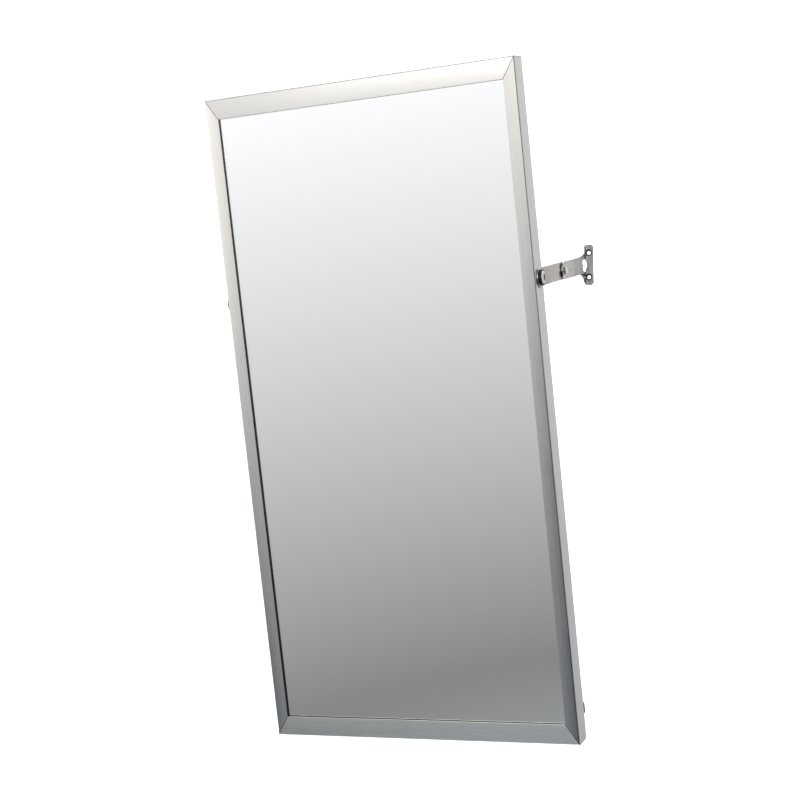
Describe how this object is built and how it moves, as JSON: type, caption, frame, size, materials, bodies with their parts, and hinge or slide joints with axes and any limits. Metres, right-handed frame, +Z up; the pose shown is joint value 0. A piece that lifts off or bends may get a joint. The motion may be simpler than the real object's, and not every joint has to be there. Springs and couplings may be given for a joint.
{
  "type": "tilting wall mirror",
  "caption": "Rectangular wall mirror in a folded stainless frame, hung between two jointed steel side arms so that it leans forward or folds back flat to the wall",
  "frame": {"origin": "on the wall plane, midway between the two wall plates and level with the middle of each plate", "axes": "+X to the right of someone who looks into the mirror, +Y into the wall, +Z up"},
  "size_m": [0.4934, 0.2728, 0.8903],
  "materials": {
    "frame_sheet": "satin",
    "arm_steel": "satin",
    "screw_steel": "gloss",
    "plated_steel": "satin",
    "galvanised_sheet": "satin",
    "silvered_glass": "polished",
    "soft_rubber": "matte",
    "black_nylon": "matte",
    "hardboard": "matte"
  },
  "bodies": {
    "brackets": {"elbow_washer_left": "black_nylon", "elbow_washer_right": "black_nylon", "elbow_rivet_left": "screw_steel", "elbow_rivet_right": "screw_steel", "wall_bracket_left": "arm_steel", "wall_bracket_right": "arm_steel"},
    "right_link": {"front_link_right": "arm_steel"},
    "left_link": {"front_link_left": "arm_steel"},
    "mirror": {"frame_top_rail": "frame_sheet", "frame_bottom_rail": "frame_sheet", "frame_left_stile": "frame_sheet", "frame_right_stile": "frame_sheet", "corner_key_top_left": "plated_steel", "corner_key_top_right": "plated_steel", "corner_key_bottom_left": "plated_steel", "corner_key_bottom_right": "plated_steel", "corner_screws": "screw_steel", "mirror_glass": "silvered_glass", "edge_strip_top": "soft_rubber", "edge_strip_bottom": "soft_rubber", "edge_strip_left": "soft_rubber", "edge_strip_right": "soft_rubber", "backing_board": "hardboard", "back_pan": "galvanised_sheet", "pan_screws": "screw_steel", "pivot_nut_left": "plated_steel", "pivot_nut_right": "plated_steel", "pivot_washer_left": "black_nylon", "pivot_washer_right": "black_nylon", "pivot_screw_left": "screw_steel", "pivot_screw_right": "screw_steel", "bumper_left": "soft_rubber", "bumper_right": "soft_rubber"}
  },
  "joints": [
    {"name": "arm_fold", "type": "hinge", "parent": "brackets", "child": "right_link", "pos_m": [0.2336, -0.097, -0.02621], "axis": [1, 0, 0], "range_deg": [0, 130]},
    {"name": "arm_fold_left", "type": "hinge", "parent": "brackets", "child": "left_link", "pos_m": [-0.2336, -0.097, -0.02621], "axis": [1, 0, 0], "range_deg": [0, 130]},
    {"name": "mirror_tilt", "type": "hinge", "parent": "right_link", "child": "mirror", "pos_m": [0.2336, -0.18169, -0.05195], "axis": [-1, 0, 0], "range_deg": [-0.4, 145]}
  ],
  "couplings": [
    {"joint": "arm_fold_left", "follows": "arm_fold", "ratio": 1}
  ]
}
